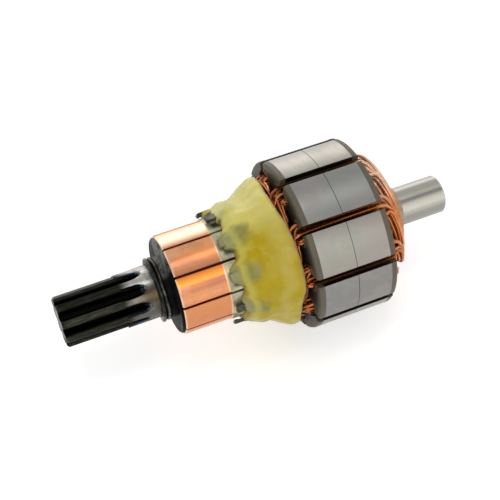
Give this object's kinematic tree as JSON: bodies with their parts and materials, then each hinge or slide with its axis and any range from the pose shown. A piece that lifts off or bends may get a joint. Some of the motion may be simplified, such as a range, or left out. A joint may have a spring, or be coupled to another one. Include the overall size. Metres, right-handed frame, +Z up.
{
  "type": "motor armature",
  "caption": "Wound armature of a small brushed motor: slotted laminated core, commutator, resin band and a shaft with a pinion cut on its end.",
  "frame": {"origin": "on the shaft's axis, at the inner end of the rear bearing journal", "axes": "+X along the shaft, away from the pinion; +Z up, with the armature lying on its core, a slot at the bottom"},
  "size_m": [0.0831, 0.0356, 0.0354],
  "materials": {
    "shaft_steel": "ground steel with heat tint, teeth oil-blackened",
    "washer": "dark, slightly oily",
    "moulding": "black phenolic moulding, satin",
    "copper_bar": "turned bare copper, tarnished at the risers",
    "core_steel": "ground laminated steel",
    "insulator": "dark grey fibre",
    "liner": "varnished insulating paper",
    "winding": "enamelled copper wire",
    "sleeve": "cream insulating tube",
    "resin": "translucent yellow dipping resin"
  },
  "bodies": {
    "root": {"shaft": "shaft_steel", "spacer_washer_outer": "washer", "spacer_washer_inner": "washer", "commutator_hub": "moulding", "commutator_bar_01": "copper_bar", "commutator_bar_02": "copper_bar", "commutator_bar_03": "copper_bar", "commutator_bar_04": "copper_bar", "commutator_bar_05": "copper_bar", "commutator_bar_06": "copper_bar", "commutator_bar_07": "copper_bar", "commutator_bar_08": "copper_bar", "commutator_bar_09": "copper_bar", "commutator_bar_10": "copper_bar", "core_stack_front": "core_steel", "core_stack_rear": "core_steel", "end_insulator_front": "insulator", "end_insulator_rear": "insulator", "slot_liner_01": "liner", "slot_liner_02": "liner", "slot_liner_03": "liner", "slot_liner_04": "liner", "slot_liner_05": "liner", "slot_liner_06": "liner", "slot_liner_07": "liner", "slot_liner_08": "liner", "slot_liner_09": "liner", "slot_liner_10": "liner", "coil_01": "winding", "coil_02": "winding", "coil_03": "winding", "coil_04": "winding", "coil_05": "winding", "coil_06": "winding", "coil_07": "winding", "coil_08": "winding", "coil_09": "winding", "coil_10": "winding", "shaft_sleeve_front": "sleeve", "shaft_sleeve_rear": "sleeve", "resin_band": "resin"}
  },
  "joints": []
}
